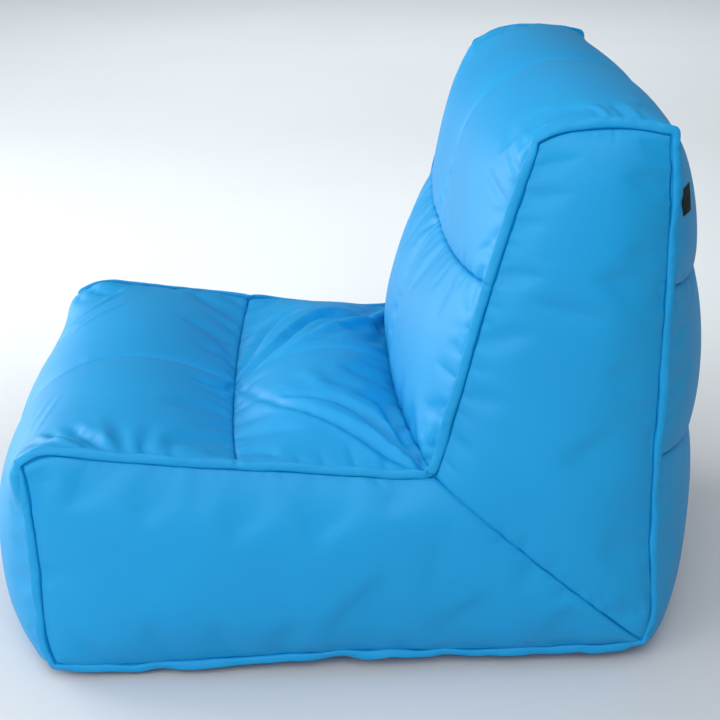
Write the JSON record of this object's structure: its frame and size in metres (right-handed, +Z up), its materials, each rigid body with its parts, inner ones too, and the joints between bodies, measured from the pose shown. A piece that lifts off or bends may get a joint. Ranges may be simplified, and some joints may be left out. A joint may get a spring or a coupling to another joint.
{
  "type": "bean bag chair",
  "caption": "L-shaped bean bag lounge chair: sewn cover of quilted panels with flanged side seams and a base zip, over bead-filled seat and back liners.",
  "frame": {"origin": "on the floor, under the middle of the chair's outer box", "axes": "+Z up, the chair faces -Y with its backrest at +Y, +X is the sitter's left"},
  "size_m": [0.7974, 1.0784, 0.8314],
  "materials": {
    "cover_fabric": "satin coated upholstery fabric",
    "base_fabric": "matt coated upholstery fabric",
    "label_fabric": "woven",
    "zip_tape": "woven",
    "zip_coil": "satin",
    "zip_metal": "polished",
    "liner_fabric": "spunbond",
    "beads": "expanded polystyrene beads"
  },
  "bodies": {
    "chair": {"back_bead_fill": "beads", "back_liner": "liner_fabric", "back_liner_zip_coil_left": "zip_coil", "back_liner_zip_coil_right": "zip_coil", "back_liner_zip_tape_left": "zip_tape", "back_liner_zip_tape_right": "zip_tape", "back_lower_panel_left": "cover_fabric", "back_lower_panel_right": "cover_fabric", "back_upper_panel_left": "cover_fabric", "back_upper_panel_right": "cover_fabric", "base_panel_left": "base_fabric", "base_panel_right": "base_fabric", "cover_zip_bottom_stop": "zip_metal", "cover_zip_coil_left": "zip_coil", "cover_zip_coil_right": "zip_coil", "cover_zip_tape_left": "zip_tape", "cover_zip_tape_right": "zip_tape", "cover_zip_top_stop": "zip_metal", "rear_lower_panel_left": "cover_fabric", "rear_lower_panel_right": "cover_fabric", "rear_middle_panel_left": "cover_fabric", "rear_middle_panel_right": "cover_fabric", "seat_bead_fill": "beads", "seat_front_panel_left": "cover_fabric", "seat_front_panel_right": "cover_fabric", "seat_liner": "liner_fabric", "seat_liner_zip_coil_left": "zip_coil", "seat_liner_zip_coil_right": "zip_coil", "seat_liner_zip_tape_left": "zip_tape", "seat_liner_zip_tape_right": "zip_tape", "seat_rear_panel_left": "cover_fabric", "seat_rear_panel_right": "cover_fabric", "side_back_panel_left": "cover_fabric", "side_back_panel_right": "cover_fabric", "side_seat_panel_left": "cover_fabric", "side_seat_panel_right": "cover_fabric", "welt_left": "cover_fabric", "welt_right": "cover_fabric", "woven_label": "label_fabric"},
    "cover_zip_slider": {"cover_zip_slider": "zip_metal"},
    "cover_zip_pull": {"cover_zip_pull": "zip_metal"},
    "seat_liner_zip_slider": {"seat_liner_zip_slider": "zip_metal"},
    "back_liner_zip_slider": {"back_liner_zip_slider": "zip_metal"}
  },
  "joints": [
    {"name": "cover_zip_slide", "type": "slide", "parent": "chair", "child": "cover_zip_slider", "axis": [0, 1, 0], "range_m": [-0.566, 0]},
    {"name": "cover_zip_pull_swing", "type": "hinge", "parent": "cover_zip_slider", "child": "cover_zip_pull", "pos_m": [0, 0.26948, 0.00455], "axis": [1, 0, 0], "range_deg": [0, 150]},
    {"name": "seat_liner_zip_slide", "type": "slide", "parent": "chair", "child": "seat_liner_zip_slider", "axis": [0, 1, 0], "range_m": [-0.226, 0]},
    {"name": "back_liner_zip_slide", "type": "slide", "parent": "chair", "child": "back_liner_zip_slider", "axis": [0, 0, 1], "range_m": [-0.166, 0]}
  ]
}
